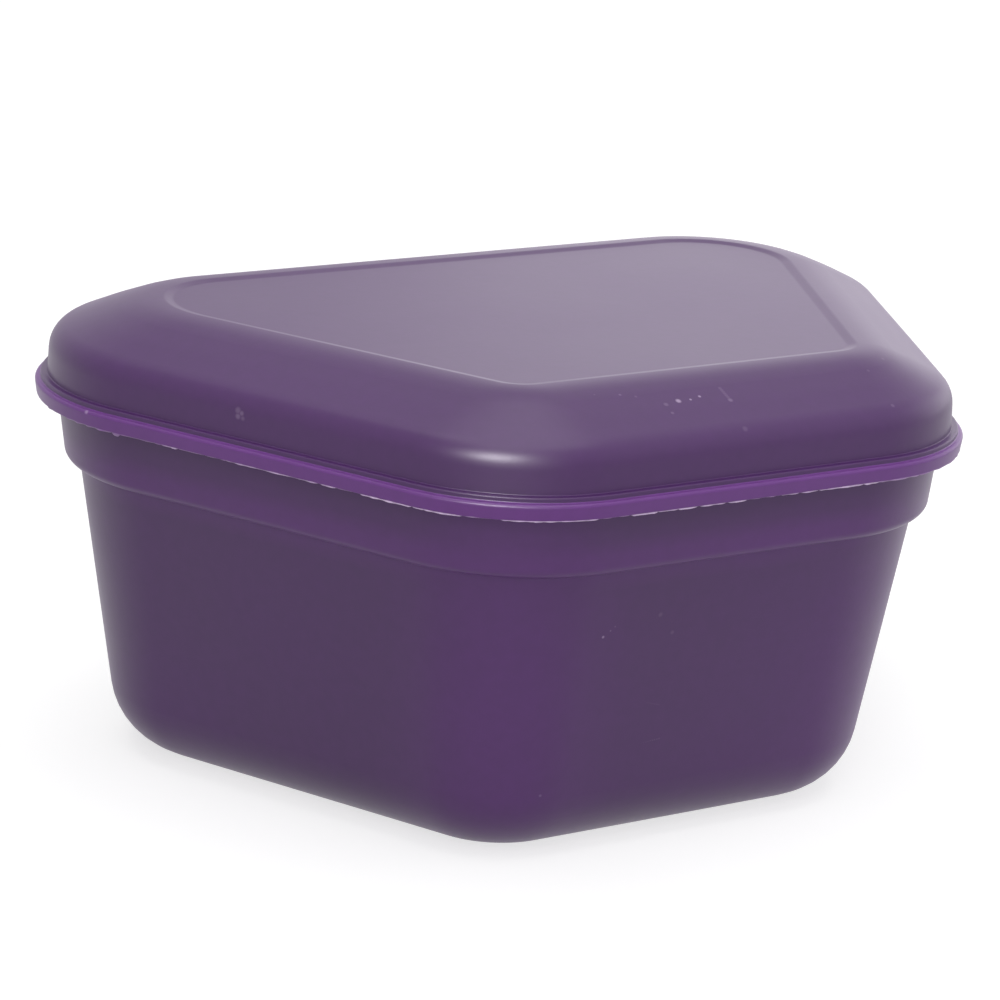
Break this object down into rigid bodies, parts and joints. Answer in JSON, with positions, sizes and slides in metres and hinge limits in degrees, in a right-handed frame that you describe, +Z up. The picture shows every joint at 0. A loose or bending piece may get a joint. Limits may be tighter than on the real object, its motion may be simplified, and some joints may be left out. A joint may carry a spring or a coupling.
{
  "type": "denture case",
  "caption": "Two-piece plastic denture case: tapered tub with rounded-trapezium outline and nesting shoulder, and a domed press-on lid with a finger flange and a recessed label panel.",
  "frame": {"origin": "on the table, under the middle of the lid's flange", "axes": "+Z up, +X along the long back edge, +Y towards the wide end and -Y towards the narrow end"},
  "size_m": [0.1058, 0.0756, 0.0512],
  "materials": {
    "case_plastic": "satin purple polypropylene, slightly translucent at thin edges"
  },
  "bodies": {
    "tub": {"tub": "case_plastic"},
    "lid": {"lid": "case_plastic"}
  },
  "joints": [
    {"name": "lid_lift", "type": "slide", "parent": "tub", "child": "lid", "axis": [0, 0, 1], "range_m": [0, 0.1]}
  ]
}
